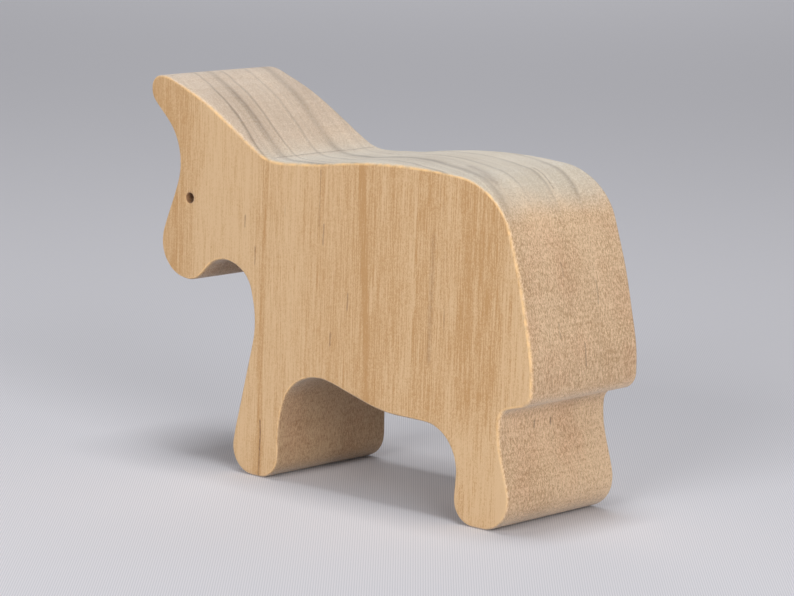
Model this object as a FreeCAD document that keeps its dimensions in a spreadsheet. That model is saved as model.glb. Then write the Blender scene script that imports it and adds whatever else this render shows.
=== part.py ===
"""A plain wooden toy horse, sawn from one board and sanded.

The horse is a single piece of wood: its side view is cut out of a thick board, the edges all round the two
side faces are eased with sandpaper, and one drilled hole through the head makes the eye on each side.

Frame: millimetres, +Z up, the head towards -X, the tail towards +X, the sides facing -Y and +Y. The
origin is on the floor, under the middle of the horse.
"""

import math
import os

import FreeCAD, Part
import Sketcher

# Driving dimensions of the board and of what is done to it.
BOARD = {
    "horse_length": 120.5,
    "board_thickness": 38.0,
    "edge_round": 0.7,
    "eye_diameter": 2.5,
    "eye_from_front": 13.8,
    "eye_height": 63.5,
}

# The side view, clockwise from the ear. Each corner is (name, distance behind the ear's front, height above
# the floor, radius that rounds it). Straight cuts run from one rounded corner to the next.
OUTLINE = [
    ("ear_front", 0.0, 86.5, 4.0),
    ("ear_tip", 0.0, 91.5, 3.0),
    ("ear_top", 5.0, 92.0, 8.0),
    ("mane", 17.5, 87.5, 60.0),
    ("withers", 39.0, 75.2, 12.5),
    ("saddle", 54.0, 76.3, 35.0),
    ("back", 78.5, 79.8, 150.0),
    ("croup", 102.5, 78.2, 19.0),
    ("tail_head", 111.0, 72.0, 15.0),
    ("rump", 116.0, 57.5, 80.0),
    ("buttock", 120.5, 38.5, 35.0),
    ("buttock_corner", 120.5, 30.0, 4.0),
    ("hock_notch", 111.5, 27.5, 3.0),
    ("hock", 111.5, 20.5, 20.0),
    ("rear_heel", 117.5, 0.0, 7.5),
    ("rear_toe", 98.5, 0.0, 5.5),
    ("stifle", 100.0, 21.5, 10.0),
    ("belly", 77.0, 21.5, 40.0),
    ("arch_crown", 56.0, 27.0, 13.0),
    ("elbow", 47.5, 23.5, 10.0),
    ("knee_back", 44.5, 14.5, 25.0),
    ("front_heel", 45.0, 0.0, 6.0),
    ("front_toe", 28.0, 0.0, 6.5),
    ("chest", 36.5, 36.5, 20.0),
    ("throat_back", 33.5, 47.5, 8.0),
    ("throat_front", 24.0, 51.5, 8.0),
    ("chin", 16.0, 43.5, 6.0),
    ("muzzle", 1.5, 45.5, 8.5),
    ("brow", 12.5, 75.0, 14.0),
]

SIDE_VIEW_PLANE = "XZ_Plane"
SKETCH_ORIGIN = -1

# How a constraint names the points of a line, an arc or a circle.
START, END, CENTRE = 1, 2, 3

# An edge counts as lying in a side face when it strays from it by less than this share of the rounding.
FLAT_SHARE = 0.01

# The share by which the volume that a cut takes away may differ from the volume worked out for it.
CUT_TOLERANCE = 0.01


def add_sheet(doc):
    """The spreadsheet that holds every driving dimension, one named cell each."""
    sheet = doc.addObject("Spreadsheet::Sheet", "Dimensions")
    cells = list(BOARD.items())
    for name, behind_front, height, radius in OUTLINE:
        cells += [(name + "_x", behind_front), (name + "_z", height), (name + "_radius", radius)]
    for row, (alias, value) in enumerate(cells, start=1):
        sheet.set(f"A{row}", alias)
        sheet.set(f"B{row}", str(value))
        sheet.setAlias(f"B{row}", alias)
    doc.recompute()
    return sheet


def origin_plane(body, role):
    """The body's own origin plane with this role."""
    return next(feature for feature in body.Origin.OriginFeatures if feature.Role == role)


def side_sketch(body, name):
    """An empty sketch on the plane that runs through the middle of the board."""
    sketch = body.newObject("Sketcher::SketchObject", name)
    sketch.AttachmentSupport = [(origin_plane(body, SIDE_VIEW_PLANE), "")]
    sketch.MapMode = "FlatFace"
    return sketch


def bind(sketch, constraint, formula):
    """Adds a constraint whose size follows a formula of the sheet's cells."""
    index = sketch.addConstraint(constraint)
    sketch.setExpression(f"Constraints[{index}]", formula)


def rounded_corner(before, corner, after, radius):
    """The arc that rounds a corner between two straight cuts: its two ends, its centre and its angles."""
    towards_before = (before - corner).normalize()
    towards_after = (after - corner).normalize()
    half_angle = towards_before.getAngle(towards_after) / 2
    cut_back = radius / math.tan(half_angle)
    enters = corner + towards_before * cut_back
    leaves = corner + towards_after * cut_back
    centre = corner + (towards_before + towards_after).normalize() * (radius / math.sin(half_angle))
    return enters, leaves, centre


def arc_between(enters, leaves, centre, radius):
    """A sketch arc round centre. Returns it, and which of its ends is the one that the outline enters by."""
    angle_in = math.atan2(enters.y - centre.y, enters.x - centre.x)
    angle_out = math.atan2(leaves.y - centre.y, leaves.x - centre.x)
    counter_clockwise = (angle_out - angle_in) % math.tau < math.pi
    first, last = (angle_in, angle_out) if counter_clockwise else (angle_out, angle_in)
    circle = Part.Circle(centre, FreeCAD.Vector(0, 0, 1), radius)
    return Part.ArcOfCircle(circle, first, last), START if counter_clockwise else END


def draw_outline(sketch):
    """The side view: straight cuts, each corner rounded by a tangent arc, every size read from the sheet."""
    corners = [FreeCAD.Vector(x - BOARD["horse_length"] / 2, z, 0) for _, x, z, _ in OUTLINE]
    count = len(corners)
    arcs = [
        rounded_corner(corners[i - 1], corners[i], corners[(i + 1) % count], OUTLINE[i][3])
        for i in range(count)
    ]
    cut_ids = []
    for i in range(count):
        leaves, next_enters = arcs[i][1], arcs[(i + 1) % count][0]
        cut_ids.append(sketch.addGeometry(Part.LineSegment(leaves, next_enters), False))
    for i, (name, _, _, radius) in enumerate(OUTLINE):
        arc, enters_by = arc_between(*arcs[i], radius)
        arc_id = sketch.addGeometry(arc, False)
        leaves_by = END if enters_by == START else START
        cut_before, cut_after = cut_ids[i - 1], cut_ids[i]
        sketch.addConstraint(Sketcher.Constraint("Tangent", cut_before, END, arc_id, enters_by))
        sketch.addConstraint(Sketcher.Constraint("Tangent", cut_after, START, arc_id, leaves_by))
        bind(sketch, Sketcher.Constraint("Radius", arc_id, radius), f"Dimensions.{name}_radius")
        place_corner(sketch, corners[i], name, cut_before, cut_after)


def place_corner(sketch, corner, name, cut_before, cut_after):
    """The sharp corner itself, where two cuts would meet, kept in its place by the sheet."""
    point_id = sketch.addGeometry(Part.Point(corner), True)
    for cut in (cut_before, cut_after):
        sketch.addConstraint(Sketcher.Constraint("PointOnObject", point_id, START, cut))
    across = Sketcher.Constraint("DistanceX", SKETCH_ORIGIN, START, point_id, START, corner.x)
    upward = Sketcher.Constraint("DistanceY", SKETCH_ORIGIN, START, point_id, START, corner.y)
    bind(sketch, across, f"Dimensions.{name}_x - Dimensions.horse_length / 2")
    bind(sketch, upward, f"Dimensions.{name}_z")


def add_feature(body, kind, name, bindings, **settings):
    """A PartDesign feature with its plain settings, and its sizes bound to the sheet."""
    feature = body.newObject(f"PartDesign::{kind}", name)
    for setting, value in settings.items():
        setattr(feature, setting, value)
    for size, formula in bindings.items():
        feature.setExpression(size, formula)
    return feature


def side_face_edges(shape):
    """The names of all the edges round the two flat side faces, which are the ones that lie square to Y."""
    flat = BOARD["edge_round"] * FLAT_SHARE
    return [f"Edge{i}" for i, edge in enumerate(shape.Edges, start=1) if edge.BoundBox.YLength < flat]


def wooden_horse(doc):
    """The whole horse: sawn outline, eased edges and the hole that makes both eyes."""
    body = doc.addObject("PartDesign::Body", "WoodenHorse")
    body.Label = "wooden_horse"

    outline = side_sketch(body, "SideView")
    draw_outline(outline)
    doc.recompute()
    sawn = add_feature(
        body,
        "Pad",
        "SawnBoard",
        {"Length": "Dimensions.board_thickness"},
        Profile=outline,
        SideType="Symmetric",
    )
    doc.recompute()

    sanded = add_feature(
        body,
        "Fillet",
        "SandedEdges",
        {"Radius": "Dimensions.edge_round"},
        Base=(sawn, side_face_edges(sawn.Shape)),
    )
    doc.recompute()

    eye = side_sketch(body, "EyeCircle")
    draw_eye(eye)
    doc.recompute()
    drilled = add_feature(
        body,
        "Pocket",
        "DrilledEye",
        {},
        Profile=eye,
        Type="ThroughAll",
        SideType="Symmetric",
    )
    doc.recompute()
    eye_area = math.pi * (BOARD["eye_diameter"] / 2) ** 2
    check_removed(sanded, drilled, eye_area * BOARD["board_thickness"])
    return body


def draw_eye(sketch):
    """One circle through the head, level with the brow."""
    across = BOARD["eye_from_front"] - BOARD["horse_length"] / 2
    centre = FreeCAD.Vector(across, BOARD["eye_height"], 0)
    circle_id = sketch.addGeometry(
        Part.Circle(centre, FreeCAD.Vector(0, 0, 1), BOARD["eye_diameter"] / 2), False
    )
    from_middle = Sketcher.Constraint("DistanceX", SKETCH_ORIGIN, START, circle_id, CENTRE, centre.x)
    from_floor = Sketcher.Constraint("DistanceY", SKETCH_ORIGIN, START, circle_id, CENTRE, centre.y)
    bind(sketch, from_middle, "Dimensions.eye_from_front - Dimensions.horse_length / 2")
    bind(sketch, from_floor, "Dimensions.eye_height")
    size = Sketcher.Constraint("Diameter", circle_id, BOARD["eye_diameter"])
    bind(sketch, size, "Dimensions.eye_diameter")


def check_removed(before, after, expected):
    """Stops when a cut took away a different volume from the one that it should."""
    removed = before.Shape.Volume - after.Shape.Volume
    if abs(removed - expected) > expected * CUT_TOLERANCE:
        raise RuntimeError(f"{after.Name} removed {removed:.1f} cubic mm instead of {expected:.1f}")


def check_document(doc):
    """Stops when any object of the document failed to compute."""
    for item in doc.Objects:
        if "Invalid" in item.State or "Error" in item.State:
            raise RuntimeError(f"{item.Name} failed: {item.State}")


def write_step(body):
    """Writes one sub-part, once its shape is known to be a sound solid."""
    shape = body.Shape
    if shape.isNull() or not shape.isValid() or len(shape.Solids) != 1:
        raise RuntimeError(f"{body.Label} isn't one valid solid")
    shape.exportStep(os.path.join("parts", body.Label + ".step"))
    box = shape.optimalBoundingBox()
    size = f"{box.XLength:.2f} x {box.YLength:.2f} x {box.ZLength:.2f} mm"
    print(f"{body.Label}: {size}, {shape.Volume:.0f} mm3")


def main():
    os.makedirs("parts", exist_ok=True)
    doc = FreeCAD.newDocument("ToyHorse")
    add_sheet(doc)
    body = wooden_horse(doc)
    check_document(doc)
    write_step(body)


main()
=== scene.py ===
"""The looks of the sawn wooden toy horse: a finely meshed body, its wood, and a plain studio."""

import math

import bmesh
import bpy
import numpy as np
from mathutils import Matrix, Vector
from mathutils.geometry import delaunay_2d_cdt


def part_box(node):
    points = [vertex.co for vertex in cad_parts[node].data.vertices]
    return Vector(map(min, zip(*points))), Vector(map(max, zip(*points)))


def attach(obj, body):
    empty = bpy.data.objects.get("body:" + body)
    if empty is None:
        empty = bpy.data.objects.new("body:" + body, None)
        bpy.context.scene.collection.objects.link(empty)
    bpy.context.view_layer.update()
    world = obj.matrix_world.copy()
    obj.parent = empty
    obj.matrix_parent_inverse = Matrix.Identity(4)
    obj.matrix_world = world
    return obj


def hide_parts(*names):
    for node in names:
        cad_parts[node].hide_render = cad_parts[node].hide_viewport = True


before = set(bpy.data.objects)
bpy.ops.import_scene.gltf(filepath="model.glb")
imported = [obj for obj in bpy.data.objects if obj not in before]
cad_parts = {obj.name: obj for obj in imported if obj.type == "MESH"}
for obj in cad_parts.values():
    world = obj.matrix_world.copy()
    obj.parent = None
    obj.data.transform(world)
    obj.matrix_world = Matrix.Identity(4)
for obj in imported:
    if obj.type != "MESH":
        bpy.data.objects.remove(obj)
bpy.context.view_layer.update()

NODE = "wooden_horse"
LOW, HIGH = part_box(NODE)
SEED = 11

# Lengths are in millimetres until the mesh is made, and in metres in every Blender object.
MM = 0.001
HALF_THICKNESS = (HIGH.y - LOW.y) / 2 / MM

# ---------------------------------------------------------------------------------------------- the camera
# The view is from behind the horse's left flank, a little above its back, through a long lens.
VIEW_AZIMUTH = math.radians(41.19)
VIEW_ELEVATION = math.radians(9.85)
VIEW_ROLL = math.radians(1.99)
CAMERA_PLACE = Vector((0.5279, -0.5993, 0.1826))
LENS_MM = 157.1
SENSOR_MM = 36.0


def view_axes(azimuth, elevation):
    """Level right, up and back for a camera that looks at the origin from that direction."""
    right = Vector((math.cos(azimuth), math.sin(azimuth), 0.0))
    back = Vector((
        math.sin(azimuth) * math.cos(elevation),
        -math.cos(azimuth) * math.cos(elevation),
        math.sin(elevation),
    ))
    return right, back.cross(right), back


def add_camera():
    level_right, level_up, back = view_axes(VIEW_AZIMUTH, VIEW_ELEVATION)
    right = math.cos(VIEW_ROLL) * level_right + math.sin(VIEW_ROLL) * level_up
    up = math.cos(VIEW_ROLL) * level_up - math.sin(VIEW_ROLL) * level_right
    camera = bpy.data.objects.new("camera", bpy.data.cameras.new("camera"))
    camera.matrix_world = Matrix.Translation(CAMERA_PLACE) @ Matrix((right, up, back)).transposed().to_4x4()
    camera.data.lens = LENS_MM
    camera.data.sensor_width = SENSOR_MM
    camera.data.clip_start = 0.01
    camera.data.clip_end = 20.0
    bpy.context.scene.collection.objects.link(camera)
    bpy.context.scene.camera = camera


# ------------------------------------------------------------------------------- the horse's sawn outline
OUTLINE_SPACING = 0.45
OUTLINE_SOFTENING = 0.45
SAME_POINT = 0.001


def loops_at_middle(node):
    """The closed loops, in x and z, where the plane y = 0 cuts the CAD solid, the longest first."""
    cut = bmesh.new()
    cut.from_mesh(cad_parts[node].data)
    bmesh.ops.remove_doubles(cut, verts=cut.verts, dist=SAME_POINT * MM)
    everything = cut.verts[:] + cut.edges[:] + cut.faces[:]
    found = bmesh.ops.bisect_plane(cut, geom=everything, plane_co=(0, 0, 0), plane_no=(0, 1, 0), dist=0)
    edges = {item for item in found["geom_cut"] if isinstance(item, bmesh.types.BMEdge)}
    loops = []
    while edges:
        edge = min(edges, key=lambda e: (e.verts[0].co.z + e.verts[1].co.z, e.verts[0].co.x))
        edges.remove(edge)
        loop = [edge.verts[0], edge.verts[1]]
        while True:
            onward = next((e for e in loop[-1].link_edges if e in edges), None)
            if onward is None:
                break
            edges.remove(onward)
            loop.append(onward.other_vert(loop[-1]))
        if loop[0] == loop[-1]:
            loop.pop()
        loops.append(anticlockwise(np.array([(v.co.x, v.co.z) for v in loop]) / MM))
    cut.free()
    return sorted(loops, key=lambda points: -np.ptp(points[:, 0]))


def anticlockwise(points):
    following = np.roll(points, -1, axis=0)
    twice_area = np.sum(points[:, 0] * following[:, 1] - following[:, 0] * points[:, 1])
    return points if twice_area > 0 else points[::-1].copy()


def closed_lengths(points):
    """How far along a closed loop each of its points lies, with the whole length last."""
    steps = np.linalg.norm(np.roll(points, -1, axis=0) - points, axis=1)
    return np.concatenate([[0.0], np.cumsum(steps)])


def resampled(points, spacing):
    """The loop again with evenly spaced points, on a smooth curve through the ones it had."""
    at = closed_lengths(points)
    step = np.diff(at)[:, None]
    slope = (np.roll(points, -1, axis=0) - points) / step
    before, step_before = np.roll(slope, 1, axis=0), np.roll(step, 1, axis=0)
    tangent = (step * before + step_before * slope) / (step + step_before)
    count = int(round(at[-1] / spacing))
    wanted = np.arange(count) * at[-1] / count
    piece = np.clip(np.searchsorted(at, wanted, side="right") - 1, 0, len(points) - 1)
    onward = (piece + 1) % len(points)
    h = step[piece]
    t = ((wanted - at[piece]) / h[:, 0])[:, None]
    return (
        (2 * t**3 - 3 * t**2 + 1) * points[piece]
        + (t**3 - 2 * t**2 + t) * h * tangent[piece]
        + (3 * t**2 - 2 * t**3) * points[onward]
        + (t**3 - t**2) * h * tangent[onward]
    )


def softened(values, sigma):
    """Values round a closed loop, blurred over sigma points."""
    count = len(values)
    distance = np.minimum(np.arange(count), count - np.arange(count))
    weights = np.exp(-0.5 * (distance / sigma) ** 2)
    spectrum = np.fft.fft(weights / weights.sum()).reshape(-1, *[1] * (values.ndim - 1))
    return np.fft.ifft(np.fft.fft(values, axis=0) * spectrum, axis=0).real


def outward_normals(points):
    along = np.roll(points, -1, axis=0) - np.roll(points, 1, axis=0)
    along /= np.linalg.norm(along, axis=1)[:, None]
    return np.stack([along[:, 1], -along[:, 0]], axis=1)


# ----------------------------------------------------------------------------------------- the body's mesh
WALL_STEPS = 44
ROUND_STEPS = 6
EDGE_RADIUS = 0.7
FACE_GRID = 1.0
FLAT_RIM = 0.5
END_GRAIN_BLEND = 1.5
EYE_POINTS = 40
EYE_STEPS = 24
EYE_CHAMFER = 0.15

# How uneven the work is, and over what length round the horse each unevenness changes.
EDGE_RADIUS_WANDER, EDGE_WANDER_LENGTH, EDGE_WANDER_LIMIT = 0.12, 9.0, 1.5
SAW_RIPPLE, SAW_RIPPLE_LENGTH = 0.025, 0.9
HAND_SANDING, HAND_SANDING_LENGTH = 0.035, 6.0
# Nothing is sanded off at the floor, and the full depth from this height up.
SOLE_BAND = 1.0

# The grid on a side face keeps these shares of its own step clear of the rim and of the eye.
RIM_CLEARANCE = 0.6
EYE_CLEARANCE = 0.5
TRIANGLES_INSIDE_EDGES = 1
SAME_GRID_POINT = 1e-6
# A triangle is left out of the eye when its middle is nearer than this share of the eye's radius. A few
# slivers along the eye's rim are further out than that, and stay.
OPEN_EYE = 0.99


def smooth_random(rng, count, sigma):
    """Smooth random values round a loop, with a spread of one."""
    values = softened(rng.standard_normal(count), sigma)
    return values / values.std()


def wall_profile():
    """Steps from the near face round its edge, across the wall and round the far edge.

    Each is (share of the wall's width, how far in from the wall and from the face, in edge radii).
    """
    turn = [math.radians(90 * k / ROUND_STEPS) for k in range(ROUND_STEPS + 1)]
    near = [(-1.0, 1 - math.sin(a), 1 - math.cos(a)) for a in turn]
    wall = [(2 * k / WALL_STEPS - 1.0, 0.0, 1.0) for k in range(1, WALL_STEPS)]
    far = [(1.0, inset, drop) for _, inset, drop in reversed(near)]
    return near + wall + far


def wall_rings(outline, rng):
    """Every ring of points round the horse, as an array (ring, point, xyz), and each ring's wallness."""
    count = len(outline)
    normals = outward_normals(outline)
    points_per_mm = count / closed_lengths(outline)[-1]
    radius = {}
    for side in (-1, 1):
        wander = smooth_random(rng, count, EDGE_WANDER_LENGTH * points_per_mm)
        wander = np.clip(wander, -EDGE_WANDER_LIMIT, EDGE_WANDER_LIMIT)
        radius[side] = EDGE_RADIUS + EDGE_RADIUS_WANDER * wander
    ripple = SAW_RIPPLE * smooth_random(rng, count, SAW_RIPPLE_LENGTH * points_per_mm)
    sway = [HAND_SANDING * smooth_random(rng, count, HAND_SANDING_LENGTH * points_per_mm) for _ in range(3)]
    off_floor = np.clip(outline[:, 1] / SOLE_BAND, 0, 1)
    rings, wallness = [], []
    for across, inset, drop in wall_profile():
        side = -1 if across < 0 else 1
        from_face = radius[side] * drop
        y = across * HALF_THICKNESS - side * from_face
        if abs(across) < 1:
            room = 0.5 * (radius[-1] - radius[1])
            y = across * (HALF_THICKNESS - 0.5 * (radius[-1] + radius[1])) + room
        share = 0.5 * (across + 1)
        lift = sway[0] * (1 - share) ** 2 + sway[1] * 2 * share * (1 - share) + sway[2] * share**2
        taken_off = off_floor * (1 - inset) * (np.abs(ripple) + np.maximum(lift, 0))
        inward = radius[side] * inset + taken_off
        ring = outline - normals * inward[:, None]
        rings.append(np.stack([ring[:, 0], y, ring[:, 1]], axis=1))
        wallness.append(1 - inset)
    return np.array(rings), np.array(wallness)


def circle(centre, radius, count):
    turn = 2 * math.pi * np.arange(count) / count
    return centre + radius * np.stack([np.cos(turn), np.sin(turn)], axis=1)


def distance_to_loop(points, loop):
    """The distance from each point to the nearest point of a loop, and whether the loop encloses it."""
    nearest = np.full(len(points), np.inf)
    inside = np.zeros(len(points), dtype=bool)
    following = np.roll(loop, -1, axis=0)
    for a, b in zip(loop, following):
        nearest = np.minimum(nearest, np.hypot(*(points - a).T))
        crosses = (a[1] > points[:, 1]) != (b[1] > points[:, 1])
        if crosses.any():
            at = a[0] + (points[:, 1] - a[1]) / (b[1] - a[1]) * (b[0] - a[0])
            inside ^= crosses & (points[:, 0] < at)
    return nearest, inside


def face_filling(rim, eye):
    """A flat side as points and triangles: the rim and the eye come first, then a grid between them."""
    low, high = rim.min(axis=0), rim.max(axis=0)
    row_gap = FACE_GRID * math.sqrt(3) / 2
    grid = []
    for row, z in enumerate(np.arange(low[1], high[1], row_gap)):
        shift = 0.5 * FACE_GRID * (row % 2)
        grid += [(x + shift, z) for x in np.arange(low[0], high[0], FACE_GRID)]
    grid = np.array(grid)
    to_rim, inside = distance_to_loop(grid, rim)
    to_eye, in_eye = distance_to_loop(grid, eye)
    clear = (to_rim > RIM_CLEARANCE * FACE_GRID) & (to_eye > EYE_CLEARANCE * FACE_GRID)
    keep = inside & ~in_eye & clear
    points = np.concatenate([rim, eye, grid[keep]])
    rim_edges = [(k, (k + 1) % len(rim)) for k in range(len(rim))]
    eye_edges = [(len(rim) + k, len(rim) + (k + 1) % len(eye)) for k in range(len(eye))]
    corners = [Vector(p) for p in points]
    made = delaunay_2d_cdt(corners, rim_edges + eye_edges, [], TRIANGLES_INSIDE_EDGES, SAME_GRID_POINT)
    triangles = np.array([list(face) for face in made[2]])
    eye_centre = eye.mean(axis=0)
    middles = points[triangles].mean(axis=1)
    eye_radius = np.hypot(*(eye[0] - eye_centre))
    outside_eye = np.hypot(*(middles - eye_centre).T) > eye_radius * OPEN_EYE
    return points, triangles[outside_eye]


class Shell:
    """The points and faces of one mesh as they are collected, with the material's marks on each point."""

    def __init__(self):
        self.points = []
        self.faces = []
        self.wall = []
        self.end_grain = []
        self.hole = []

    def add(self, points, wall, end_grain=0.0, hole=0.0):
        first = len(self.points)
        self.points.extend(points)
        self.wall.extend([wall] * len(points))
        self.end_grain.extend(np.broadcast_to(end_grain, len(points)))
        self.hole.extend([hole] * len(points))
        return np.arange(first, first + len(points))

    def join_rings(self, a, b):
        """Quads between two closed rings with as many points."""
        for k in range(len(a)):
            onward = (k + 1) % len(a)
            self.faces.append((a[k], a[onward], b[onward], b[k]))


def build_body():
    rng = np.random.default_rng(SEED)
    outline, eye_loop = loops_at_middle(NODE)[:2]
    outline = resampled(outline, OUTLINE_SPACING)
    outline = softened(outline, OUTLINE_SOFTENING / OUTLINE_SPACING)
    outline[:, 1] -= outline[:, 1].min()
    eye_centre = (eye_loop.min(axis=0) + eye_loop.max(axis=0)) / 2
    eye_radius = np.ptp(eye_loop[:, 0]) / 2

    shell = Shell()
    rings, wallness = wall_rings(outline, rng)
    end_grain = softened(np.abs(outward_normals(outline)[:, 1]), END_GRAIN_BLEND / OUTLINE_SPACING)
    ring_ids = [shell.add(ring, wall, end_grain) for ring, wall in zip(rings, wallness)]
    for a, b in zip(ring_ids, ring_ids[1:]):
        shell.join_rings(b, a)

    eye_mouth = circle(eye_centre, eye_radius + EYE_CHAMFER, EYE_POINTS)
    eye_wall = circle(eye_centre, eye_radius, EYE_POINTS)
    mouths = {}
    for side, ring, ring_id in ((-1, rings[0], ring_ids[0]), (1, rings[-1], ring_ids[-1])):
        rim = ring[:, [0, 2]]
        inner_rim = rim - outward_normals(rim) * FLAT_RIM
        inner_id = shell.add(flat_points(inner_rim, side * HALF_THICKNESS), 0.0)
        mouth_id = shell.add(flat_points(eye_mouth, side * HALF_THICKNESS), 0.0)
        shell.join_rings(*((ring_id, inner_id) if side < 0 else (inner_id, ring_id)))
        points, triangles = face_filling(inner_rim, eye_mouth)
        grid_id = shell.add(flat_points(points[len(rim) + EYE_POINTS:], side * HALF_THICKNESS), 0.0)
        ids = np.concatenate([inner_id, mouth_id, grid_id])
        ordered = triangles if side < 0 else triangles[:, ::-1]
        shell.faces.extend(tuple(ids[triangle]) for triangle in ordered)
        mouths[side] = mouth_id

    depth = HALF_THICKNESS - EYE_CHAMFER
    tube = [mouths[-1]]
    for y in np.linspace(-depth, depth, EYE_STEPS):
        tube.append(shell.add(flat_points(eye_wall, y), 1.0, hole=1.0))
    tube.append(mouths[1])
    for a, b in zip(tube, tube[1:]):
        shell.join_rings(a, b)
    return shell


def flat_points(points, y):
    return np.stack([points[:, 0], np.full(len(points), y), points[:, 1]], axis=1)


def mesh_object(name, shell):
    mesh = bpy.data.meshes.new(name)
    points = (np.array(shell.points) * MM).tolist()
    mesh.from_pydata(points, [], [[int(k) for k in face] for face in shell.faces])
    mesh.validate()
    for mark, values in (("wall", shell.wall), ("end_grain", shell.end_grain), ("hole", shell.hole)):
        attribute = mesh.attributes.new(mark, "FLOAT", "POINT")
        attribute.data.foreach_set("value", np.array(values, dtype=np.float32))
    mesh.shade_smooth()
    thing = bpy.data.objects.new(name, mesh)
    bpy.context.scene.collection.objects.link(thing)
    return thing


# ------------------------------------------------------------------------------------------- shader helpers
def linear(colour):
    """A colour given in sRGB from 0 to 255, as the linear RGBA that shaders take."""
    channels = [c / 255 for c in colour]
    return [c / 12.92 if c <= 0.04045 else ((c + 0.055) / 1.055) ** 2.4 for c in channels] + [1.0]


class Graph:
    """A short way to add shader nodes to a material or the world."""

    def __init__(self, owner):
        owner.use_nodes = True
        self.tree = owner.node_tree
        self.tree.nodes.clear()

    def add(self, kind, **settings):
        node = self.tree.nodes.new(kind)
        for name, value in settings.items():
            setattr(node, name, value)
        return node

    def feed(self, socket, value):
        if isinstance(value, bpy.types.NodeSocket):
            self.tree.links.new(value, socket)
        else:
            socket.default_value = value

    def maths(self, operation, a, b=0.0, c=0.0, clamp=False):
        node = self.add("ShaderNodeMath", operation=operation, use_clamp=clamp)
        for socket, value in zip(node.inputs, (a, b, c)):
            self.feed(socket, value)
        return node.outputs[0]

    def total(self, *values):
        result = values[0]
        for value in values[1:]:
            result = self.maths("ADD", result, value)
        return result

    def product(self, *values):
        result = values[0]
        for value in values[1:]:
            result = self.maths("MULTIPLY", result, value)
        return result

    def rest(self, share):
        """What a share leaves of the whole."""
        return self.maths("SUBTRACT", 1.0, share)

    def range(self, value, low, high, to_low=0.0, to_high=1.0, smooth=False):
        kind = "SMOOTHSTEP" if smooth else "LINEAR"
        node = self.add("ShaderNodeMapRange", interpolation_type=kind)
        for socket, given in zip(node.inputs, (value, low, high, to_low, to_high)):
            self.feed(socket, given)
        return node.outputs[0]

    def vector(self, x, y, z):
        node = self.add("ShaderNodeCombineXYZ")
        for socket, value in zip(node.inputs, (x, y, z)):
            self.feed(socket, value)
        return node.outputs[0]

    def scaled(self, vector, factors):
        node = self.add("ShaderNodeVectorMath", operation="MULTIPLY")
        self.feed(node.inputs[0], vector)
        self.feed(node.inputs[1], factors)
        return node.outputs[0]

    def noise(self, vector, detail=2.0, roughness=0.5, dimensions="3D"):
        """Smooth noise, about -1 to 1."""
        node = self.add("ShaderNodeTexNoise", noise_dimensions=dimensions)
        self.feed(node.inputs["W" if dimensions == "1D" else "Vector"], vector)
        self.feed(node.inputs["Scale"], 1.0)
        self.feed(node.inputs["Detail"], detail)
        self.feed(node.inputs["Roughness"], roughness)
        return self.maths("MULTIPLY_ADD", node.outputs[0], 2.0, -1.0)

    def ramp(self, value, stops):
        """A brightness that follows value through (place, brightness) stops, places given from 0 to 1."""
        node = self.add("ShaderNodeValToRGB")
        self.feed(node.inputs[0], value)
        elements = node.color_ramp.elements
        while len(elements) < len(stops):
            elements.new(0.5)
        for element, (place, level) in zip(elements, stops):
            element.position = place
            element.color = (level, level, level, 1.0)
        return node.outputs[0]

    def line(self, u, v, start, end, half_width):
        """One on a line drawn from start to end in the plane of u and v, fading to zero beside it."""
        length = math.dist(start, end)
        step_u, step_v = (end[0] - start[0]) / length, (end[1] - start[1]) / length
        from_u = self.maths("SUBTRACT", u, start[0])
        from_v = self.maths("SUBTRACT", v, start[1])
        along = self.maths("MULTIPLY_ADD", from_u, step_u, self.maths("MULTIPLY", from_v, step_v))
        aside = self.maths("MULTIPLY_ADD", from_v, step_u, self.maths("MULTIPLY", from_u, -step_v))
        past_end = self.maths("ABSOLUTE", self.maths("SUBTRACT", along, length / 2))
        past_end = self.maths("MAXIMUM", self.maths("SUBTRACT", past_end, length / 2), 0.0)
        distance = self.maths("MULTIPLY_ADD", past_end, 0.5, self.maths("ABSOLUTE", aside))
        return self.range(distance, half_width, 0.0, smooth=True)

    def lines(self, u, v, drawn):
        """The sum of many drawn lines, each (start, end, half width, strength)."""
        return self.total(*[
            self.maths("MULTIPLY", self.line(u, v, start, end, half_width), strength)
            for start, end, half_width, strength in drawn
        ])

    def mix(self, factor, a, b, blend="MIX"):
        node = self.add("ShaderNodeMix", data_type="RGBA", blend_type=blend)
        self.feed(node.inputs[0], factor)
        self.feed(node.inputs[6], a)
        self.feed(node.inputs[7], b)
        return node.outputs[2]


# ------------------------------------------------------------------------------------------------- the wood
SIDE_PALE = linear((212, 178, 136))
SIDE_BROWN = linear((186, 143, 93))
# The back's pale end grain, partly its own tone and partly painted sheen.
END_GRAIN_AND_SHEEN_PALE = linear((228, 218, 200))
END_GRAIN_AND_SHEEN_TAN = linear((202, 186, 162))
MANE_PALE = linear((225, 207, 187))
MANE_TAN = linear((198, 173, 147))
WALL_PALE = linear((234, 202, 164))
WALL_TAN = linear((182, 143, 102))
RUDDY_PALE = linear((230, 190, 152))
RUDDY_TAN = linear((184, 136, 98))
RING_BROWN = linear((112, 92, 74))
EDGE_HIGHLIGHT_CREAM = linear((238, 196, 138))
EDGE_HIGHLIGHT_ORANGE = linear((206, 156, 104))
HOLE_BROWN = linear((146, 108, 74))
FLECK = linear((92, 64, 44))
MARK_BROWN = linear((112, 80, 56))
# Painted shade, multiplied into the walls between the legs and under the chin.
PAINTED_SHADE_TINT = linear((210, 204, 196))

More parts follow.
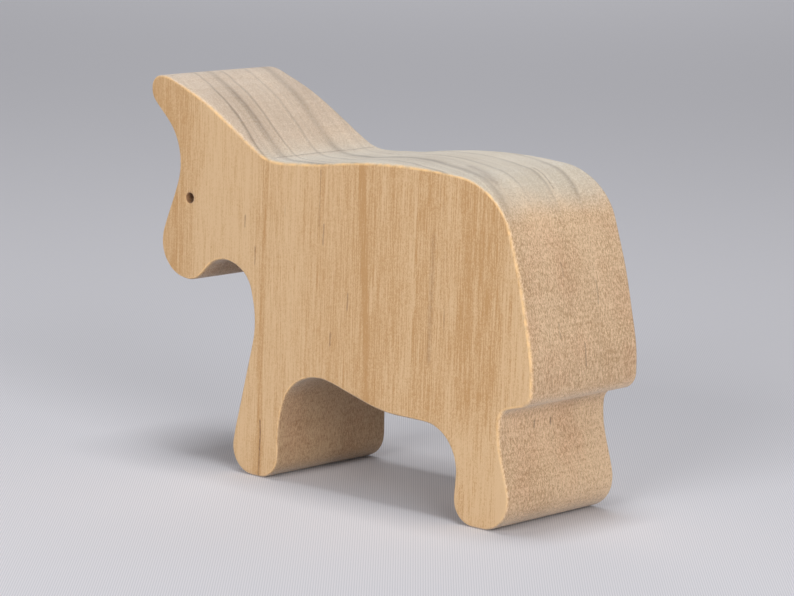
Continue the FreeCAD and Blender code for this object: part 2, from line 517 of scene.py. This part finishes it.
# Brown bands down the near side: (x in mm, how brown from 0 to 1). The grain runs straight up.
SIDE_BANDS = [
    (-60, 0.55), (-49, 0.65), (-44, 0.2), (-38, 0.05), (-27, 0.05), (-23.5, 0.35), (-21.4, 0.85),
    (-20.7, 0.2), (-12, 0.2), (-4.5, 0.4), (5, 0.45), (8.4, 0.55), (9.4, 1.1), (10.6, 1.1),
    (11.4, 0.6), (14.5, 0.45), (20, 0.55), (24.5, 0.08), (25.0, 0.6), (30, 0.65), (32, 0.35),
    (37, 0.45), (40, 0.8), (43, 0.6), (47.5, 0.8), (55, 0.0), (60, -0.2),
]
# Growth rings on the end grain: (distance across the rings in mm, how dark from 0 to 1).
RINGS = [
    (-38, 0.0), (-33, 0.25), (-32.6, 0.0), (-25.8, 0.15), (-25.2, 0.9), (-24.7, 0.15), (-21.6, 0.25),
    (-19.8, 0.8), (-18.7, 0.2), (-16.5, 0.15), (-16.0, 0.7), (-15.5, 0.05), (-9, 0.15), (-7.9, 0.7),
    (-7.3, 0.05), (-2.6, 0.3), (-0.7, 0.85), (0.9, 0.25), (7.2, 0.05), (8.0, 0.5), (8.6, 0.1),
    (15.8, 0.15), (17.0, 0.5), (17.8, 0.0), (24, 0.15), (25.5, 0.6), (26.3, 0.0), (38, 0.2),
]
# From above, the rings start level with the sides at RING_BEND_X, turn over about RING_BEND, and cross the
# back at the slope RING_SLANT. RING_SHIFT moves them all sideways.
RING_BEND_X = -62.0
RING_BEND = 12.0
RING_SLANT = 0.33
RING_SHIFT = -20.5

# Single dark marks, each (start, end, half width, strength), in mm: in x and z on the near side, in x and y
# on top, and in y and z on the rump.
SIDE_MARKS = [
    ((-21.3, -2.0), (-21.4, 13.5), 0.35, 0.9),
    ((-4.6, 62.0), (-4.3, 75.0), 0.3, 0.35),
    ((-3.0, 58.0), (-3.0, 62.5), 0.4, 0.5),
    ((5.0, 44.0), (5.1, 47.5), 0.45, 0.6),
    ((0.0, 35.0), (0.1, 37.5), 0.45, 0.5),
    ((-28.0, 59.0), (-28.0, 61.5), 0.4, 0.5),
    ((-24.5, 50.5), (-24.6, 54.5), 0.4, 0.5),
    ((30.0, 36.0), (30.3, 64.0), 1.3, 0.22),
]
TOP_MARKS = [
    ((38.0, 6.1), (46.5, 2.75), 0.4, 0.5),
    ((30.0, -6.8), (42.0, -12.7), 1.8, 0.4),
    ((-21.2, -17.0), (-21.2, 17.0), 0.5, 0.45),
]
RUMP_MARKS = [
    ((0.0, 37.0), (0.1, 42.0), 0.3, 0.6),
    ((-0.6, 22.4), (-0.6, 23.8), 0.4, 0.8),
    ((-6.5, 22.4), (-6.5, 23.8), 0.4, 0.8),
    ((7.0, 50.0), (7.2, 55.0), 0.35, 0.4),
    ((-8.0, 44.0), (-8.0, 47.0), 0.4, 0.4),
    ((-4.0, 57.0), (-3.9, 60.0), 0.35, 0.35),
]

# How closely each kind of grain repeats, in times per mm along x, y and z.
PORE_GRAIN = (3.4, 3.4, 2.4)
LONG_GRAIN = (4.2, 4.2, 0.09)
SHORT_GRAIN = (3.0, 3.0, 0.9)
STREAK_GRAIN = (0.8, 0.8, 0.02)
FLECK_GRAIN = (1.3, 1.3, 0.09)
FLECK_AREAS = (0.11, 0.11, 0.05)
BAND_WANDER = (0.05, 0.05, 0.03)
RING_WANDER = (0.07, 0.09, 0.02)
BROAD_PATCHES = (0.05, 0.08, 0.03)
RUDDY_PATCHES = (0.09, 0.12, 0.09)
EDGE_BREAKS = (0.6, 0.6, 0.6)
MARK_SWAY = (0.25, 0.25, 0.12)
MARK_FRAYING = (1.6, 1.6, 0.8)
SAW_MARKS = (0.9, 0.12, 2.2)

# Where the looks change from one part of the horse to the next, each as (starts, done), in mm.
CHIN_X = (-22.0, -26.0)
CHIN_Z = (30.0, 34.0)
MANE_X = (-18.0, -28.0)
BACK_X = (-24.0, -8.0)
ARCH_FRONT_X = (-24.0, -18.0)
ARCH_REAR_X = (42.0, 36.0)
ARCH_Z = (36.0, 30.0)
BARREL_X = (0.0, 25.0)
REAR_LEG_X = (34.0, 40.0)
REAR_LEG_Z = (30.0, 18.0)
RUMP_Z = (24.0, 36.0)
TOP_Z = (45.0, 62.0)
EDGE_Z = (8.0, 36.0)
# The same for the upward part of a wall's normal.
TURNED_DOWN = (0.0, -0.5)
# The lowest z of the marks on top, and the least x of those on the rump.
TOP_MARKS_ABOVE = 60.0
RUMP_MARKS_BEHIND = 45.0


def placed(stops):
    """Stops with their places as shares of the way from the first to the last."""
    first, last = stops[0][0], stops[-1][0]
    return [((place - first) / (last - first), level) for place, level in stops]


def wood():
    material = bpy.data.materials.new("bare_wood")
    g = Graph(material)
    place = g.add("ShaderNodeTexCoord").outputs["Object"]
    p = g.scaled(place, (1 / MM, 1 / MM, 1 / MM))
    split = g.add("ShaderNodeSeparateXYZ")
    g.feed(split.inputs[0], p)
    x, y, z = split.outputs
    wall = g.add("ShaderNodeAttribute", attribute_name="wall").outputs["Fac"]
    end = g.add("ShaderNodeAttribute", attribute_name="end_grain").outputs["Fac"]
    hole = g.add("ShaderNodeAttribute", attribute_name="hole").outputs["Fac"]
    on_wall = g.range(wall, 0.3, 0.85, smooth=True)
    pores = g.noise(g.scaled(p, PORE_GRAIN), detail=3.0, roughness=0.8)
    long_fibres = g.noise(g.scaled(p, LONG_GRAIN), detail=2.0, roughness=0.7)
    long_fibres = g.maths("MULTIPLY_ADD", pores, 0.9, long_fibres)
    short_fibres = g.noise(g.scaled(p, SHORT_GRAIN), detail=4.0, roughness=0.8)
    short_fibres = g.maths("MULTIPLY_ADD", pores, 0.55, short_fibres)
    fibres = g.mix(on_wall, long_fibres, short_fibres)

    side_colour = g.mix(side_brownness(g, p, x, y, z, long_fibres), SIDE_PALE, SIDE_BROWN)
    wall_colour = end_grain_colour(g, p, x, y, z, end, short_fibres)
    colour = g.mix(on_wall, side_colour, wall_colour)
    # Painted highlight: a thin line along the rounded edges, cream on the near side and orange on the far.
    edge_highlight_colour = g.mix(g.maths("GREATER_THAN", y, 0.0), EDGE_HIGHLIGHT_CREAM, EDGE_HIGHLIGHT_ORANGE)
    colour = g.mix(painted_edge_highlight(g, p, z, wall), colour, edge_highlight_colour)
    colour = g.mix(flecks(g, p, on_wall), colour, FLECK)
    colour = g.mix(marks(g, p, x, y, z, on_wall, end), colour, MARK_BROWN)
    # Painted shade: the walls between the legs and under the chin are darkened as if in the body's shadow.
    colour = g.mix(painted_shade_mask(g, x, z, on_wall), colour, PAINTED_SHADE_TINT, blend="MULTIPLY")
    colour = g.mix(hole, colour, HOLE_BROWN)

    bump = g.add("ShaderNodeBump")
    bump.inputs["Strength"].default_value = 0.5
    bump.inputs["Distance"].default_value = 0.1 * MM
    g.feed(bump.inputs["Height"], relief(g, p, on_wall, fibres))
    skin = g.add("ShaderNodeBsdfPrincipled")
    g.feed(skin.inputs["Base Color"], colour)
    g.feed(skin.inputs["Roughness"], g.maths("MULTIPLY_ADD", fibres, 0.12, 0.6))
    g.feed(skin.inputs["Normal"], bump.outputs[0])
    skin.inputs["IOR"].default_value = 1.45
    skin.inputs["Sheen Weight"].default_value = 0.3
    skin.inputs["Sheen Roughness"].default_value = 0.4
    out = g.add("ShaderNodeOutputMaterial")
    g.feed(out.inputs[0], skin.outputs[0])
    return material


def side_brownness(g, p, x, y, z, fibres):
    """How brown the flat sides are: wide bands, then fine fibres along the grain.

    The bands lean a little round the middle of the near side. Those of the far side are random.
    """
    from_middle = g.maths("ABSOLUTE", g.maths("SUBTRACT", x, 9.0))
    leaning = g.range(from_middle, 0.0, 14.0, 1.0, 0.0)
    lean = g.product(g.maths("SUBTRACT", z, 52.0), 0.07, leaning)
    wander = g.product(g.noise(g.scaled(p, BAND_WANDER)), 0.5)
    across = g.total(x, lean, wander)
    near = g.ramp(g.range(across, SIDE_BANDS[0][0], SIDE_BANDS[-1][0]), placed(SIDE_BANDS))
    shifted = g.vector(g.product(across, 0.16), 7.0, g.product(z, 0.006))
    far = g.maths("MULTIPLY_ADD", g.noise(shifted, detail=3.0), 0.7, 0.4)
    bands = g.mix(g.maths("GREATER_THAN", y, 0.0), near, far)
    streaks = g.noise(g.scaled(p, STREAK_GRAIN), detail=2.0)
    contrast = g.range(x, *BARREL_X, 1.4, 2.1)
    rear_leg = g.product(g.range(z, *REAR_LEG_Z, 0.0, -0.65), g.range(x, *REAR_LEG_X))
    return g.total(bands, rear_leg, g.product(fibres, contrast), g.product(streaks, 0.45))


def end_grain_colour(g, p, x, y, z, end, fibres):
    """The walls: bare sawn wood, ringed where the fibres' ends show on top. High up, where a wall faces up,
    it is paler and greyer, partly from the end grain's own tone and partly from painted sheen of light
    grazing the top.
    """
    broad = g.noise(g.scaled(p, BROAD_PATCHES), detail=2.0)
    saw = g.noise(g.vector(g.product(y, 0.05), g.product(z, 1.5), 1.0), detail=2.0)
    # The walls are paler below RUMP_Z and tanner above it.
    tan_with_height = g.range(z, *RUMP_Z, 0.34, 0.54)
    tan = g.total(tan_with_height, g.product(broad, 0.6), g.product(fibres, 2.5), g.product(saw, 0.3))
    ruddy = g.noise(g.scaled(p, RUDDY_PATCHES), detail=3.0)
    ruddy_colour = g.mix(tan, RUDDY_PALE, RUDDY_TAN)
    sawn = g.mix(g.range(ruddy, -0.1, 0.5, 0.0, 0.55), g.mix(tan, WALL_PALE, WALL_TAN), ruddy_colour)
    back_colour = g.mix(tan, END_GRAIN_AND_SHEEN_PALE, END_GRAIN_AND_SHEEN_TAN)
    mane_colour = g.mix(tan, MANE_PALE, MANE_TAN)
    upper = g.mix(g.range(x, *MANE_X), back_colour, mane_colour)
    # Partly painted sheen: the upward-facing top is made paler and greyer, for the end grain's tone and for
    # the light that grazes it.
    facing_up = g.range(g.maths("MULTIPLY_ADD", broad, 0.2, end), 0.33, 1.0, smooth=True)
    top_grey_and_sheen = g.product(facing_up, g.range(z, *TOP_Z, 0.3, 1.0))
    ground = g.mix(top_grey_and_sheen, sawn, upper)

    across = across_rings(g, p, x, y, fibres)
    dark = g.ramp(g.range(across, RINGS[0][0], RINGS[-1][0]), placed(RINGS))
    faint = g.noise(g.vector(g.product(across, 0.9), g.product(x, 0.02), 3.0), detail=2.0)
    ringed = g.total(dark, g.product(faint, 0.35))
    patchy = g.maths("MULTIPLY_ADD", broad, 0.6, 0.85)
    shown = g.product(g.maths("MULTIPLY_ADD", top_grey_and_sheen, 0.62, 0.06), g.range(x, *BACK_X, 1.0, 1.35), patchy)
    return g.mix(g.maths("MULTIPLY", ringed, shown, clamp=True), ground, RING_BROWN)


def across_rings(g, p, x, y, fibres):
    """How far across the growth rings a point on top lies, in mm, with the rings a little uneven."""
    behind_bend = g.maths("SUBTRACT", x, RING_BEND_X)
    bend = g.maths("SQRT", g.maths("ADD", g.maths("POWER", behind_bend, 2.0), RING_BEND**2))
    wander = g.product(g.noise(g.scaled(p, RING_WANDER), detail=3.0), 1.2)
    frayed = g.product(fibres, 0.35)
    return g.total(y, g.maths("MULTIPLY_ADD", bend, RING_SLANT, RING_SHIFT), wander, frayed)


def painted_edge_highlight(g, p, z, wall):
    """A painted highlight along the sanded edges: a thin broken line in the middle of the round, stronger
    higher up.
    """
    middle = g.product(wall, g.rest(wall), 4.0)
    broken = g.maths("MULTIPLY_ADD", g.noise(g.scaled(p, EDGE_BREAKS), detail=3.0), 1.1, 0.45)
    return g.product(g.maths("MULTIPLY", middle, broken, clamp=True), g.range(z, *EDGE_Z, 0.4, 1.0))


def flecks(g, p, on_wall):
    """Short dark dashes along the grain, few and far between."""
    dashes = g.range(g.noise(g.scaled(p, FLECK_GRAIN), detail=1.0), 0.42, 0.62)
    rare = g.range(g.noise(g.scaled(p, FLECK_AREAS), detail=1.0), 0.1, 0.4)
    return g.product(dashes, rare, 0.5, g.rest(on_wall))


def marks(g, p, x, y, z, on_wall, end):
    """The few dark lines that stand out alone: on the near side, on top and on the rump."""
    sway = g.product(g.noise(g.scaled(p, MARK_SWAY), detail=2.0), 0.5)
    x_swayed, y_swayed = g.total(x, sway), g.total(y, sway)
    on_near_side = g.product(g.maths("LESS_THAN", y, 0.0), g.rest(on_wall))
    on_top = g.product(g.range(end, 0.5, 0.8), g.maths("GREATER_THAN", z, TOP_MARKS_ABOVE), on_wall)
    on_rump = g.product(g.maths("GREATER_THAN", x_swayed, RUMP_MARKS_BEHIND), on_wall)
    drawn = g.total(
        g.product(g.lines(x_swayed, z, SIDE_MARKS), on_near_side),
        g.product(g.lines(x_swayed, y_swayed, TOP_MARKS), on_top),
        g.product(g.lines(y_swayed, z, RUMP_MARKS), on_rump),
    )
    frayed = g.maths("MULTIPLY_ADD", g.noise(g.scaled(p, MARK_FRAYING), detail=2.0), 0.9, 0.85)
    return g.maths("MULTIPLY", drawn, frayed, clamp=True)


def painted_shade_mask(g, x, z, on_wall):
    """Painted shade on the walls between the legs and on the underside of the chin, where little light
    reaches.
    """
    under_belly = g.product(g.range(x, *ARCH_FRONT_X), g.range(x, *ARCH_REAR_X), g.range(z, *ARCH_Z))
    facing = g.add("ShaderNodeSeparateXYZ")
    g.feed(facing.inputs[0], g.add("ShaderNodeNewGeometry").outputs["Normal"])
    downward = g.range(facing.outputs["Z"], *TURNED_DOWN)
    under_chin = g.product(g.range(x, *CHIN_X), downward, g.range(z, *CHIN_Z))
    return g.product(g.maths("MAXIMUM", under_belly, under_chin), on_wall)


def relief(g, p, on_wall, fibres):
    """The fibres as fine ridges, with saw marks across the walls."""
    saw = g.noise(g.scaled(p, SAW_MARKS), detail=3.0, roughness=0.7)
    rough = g.total(g.product(fibres, 1.2), g.product(saw, 0.8))
    return g.mix(on_wall, g.product(fibres, 0.6), rough)


# ----------------------------------------------------------------------------------------------- the studio
FLOOR_HALF = 6.0
FLOOR_DROP = 0.02 * MM
FLOOR_COLOUR = linear((224, 223, 228))
FLOOR_RIB = linear((206, 206, 212))
RIB_SCALE = 590.0
# The ribs fade out between these distances from the horse, in metres, to the middle of both colours.
RIBS_FADE = (0.12, 0.4)
SKY_AMBIENT = (0.08, 0.082, 0.09, 1.0)
SKY_SEEN = (0.42, 0.42, 0.45, 1.0)
HORSE_MIDDLE = (0.0, 0.0, 0.04)
FLOOR_LIT_BEHIND = 1.7


def add_floor():
    mesh = bpy.data.meshes.new("floor")
    corners = [(-1, -1), (1, -1), (1, 1), (-1, 1)]
    mesh.from_pydata([(FLOOR_HALF * x, FLOOR_HALF * y, -FLOOR_DROP) for x, y in corners], [], [(0, 1, 2, 3)])
    floor = bpy.data.objects.new("floor", mesh)
    bpy.context.scene.collection.objects.link(floor)
    material = bpy.data.materials.new("floor_paper")
    g = Graph(material)
    place = g.add("ShaderNodeTexCoord").outputs["Object"]
    turned = g.add("ShaderNodeVectorRotate", rotation_type="Z_AXIS")
    g.feed(turned.inputs["Vector"], place)
    turned.inputs["Angle"].default_value = -VIEW_AZIMUTH
    ribs = g.add("ShaderNodeTexWave", wave_type="BANDS", bands_direction="X")
    g.feed(ribs.inputs["Vector"], turned.outputs[0])
    ribs.inputs["Scale"].default_value = RIB_SCALE
    skin = g.add("ShaderNodeBsdfPrincipled")
    away = g.add("ShaderNodeVectorMath", operation="LENGTH")
    g.feed(away.inputs[0], place)
    ribbed = g.product(ribs.outputs["Fac"], g.range(away.outputs["Value"], *RIBS_FADE, 1.0, 0.0))
    even = g.range(away.outputs["Value"], *RIBS_FADE, 0.0, 0.5)
    g.feed(skin.inputs["Base Color"], g.mix(g.total(ribbed, even), FLOOR_RIB, FLOOR_COLOUR))
    skin.inputs["Roughness"].default_value = 0.9
    skin.inputs["Specular IOR Level"].default_value = 0.2
    out = g.add("ShaderNodeOutputMaterial")
    g.feed(out.inputs[0], skin.outputs[0])
    mesh.materials.append(material)


def add_light(name, side, elevation, distance, size, power, aim=HORSE_MIDDLE):
    """A soft square light, placed by its angle from the camera's direction: side counts to the right.

    Angles are in degrees, lengths in metres and the power in watts.
    """
    turn = VIEW_AZIMUTH + math.radians(side)
    _, _, towards = view_axes(turn, math.radians(elevation))
    light = bpy.data.lights.new(name, "AREA")
    light.shape = "SQUARE"
    light.size = size
    light.energy = power
    lamp = bpy.data.objects.new(name, light)
    lamp.location = towards * distance
    lamp.rotation_mode = "QUATERNION"
    lamp.rotation_quaternion = (lamp.location - Vector(aim)).to_track_quat("Z", "Y")
    lamp.visible_camera = False
    bpy.context.scene.collection.objects.link(lamp)


def add_studio():
    scene = bpy.context.scene
    scene.view_settings.view_transform = "Standard"
    world = bpy.data.worlds.new("studio")
    g = Graph(world)
    seen = g.add("ShaderNodeLightPath").outputs["Is Camera Ray"]
    background = g.add("ShaderNodeBackground")
    g.feed(background.inputs["Color"], g.mix(seen, SKY_AMBIENT, SKY_SEEN))
    g.feed(g.add("ShaderNodeOutputWorld").inputs[0], background.outputs[0])
    scene.world = world
    _, _, towards_camera = view_axes(VIEW_AZIMUTH, 0.0)
    add_light("left_softbox", side=-30.0, elevation=22.0, distance=1.5, size=0.7, power=12.0)
    add_light("right_softbox", side=25.0, elevation=22.0, distance=1.5, size=0.8, power=10.6)
    add_light("overhead_softbox", side=0.0, elevation=90.0, distance=1.2, size=0.4, power=6.2)
    add_light(
        "backdrop_light",
        side=180.0,
        elevation=30.5,
        distance=1.97,
        size=0.8,
        power=6.0,
        aim=-FLOOR_LIT_BEHIND * towards_camera,
    )
    add_floor()


horse = mesh_object("horse_body", build_body())
horse.data.materials.append(wood())
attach(horse, "root")
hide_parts(NODE)
add_camera()
add_studio()
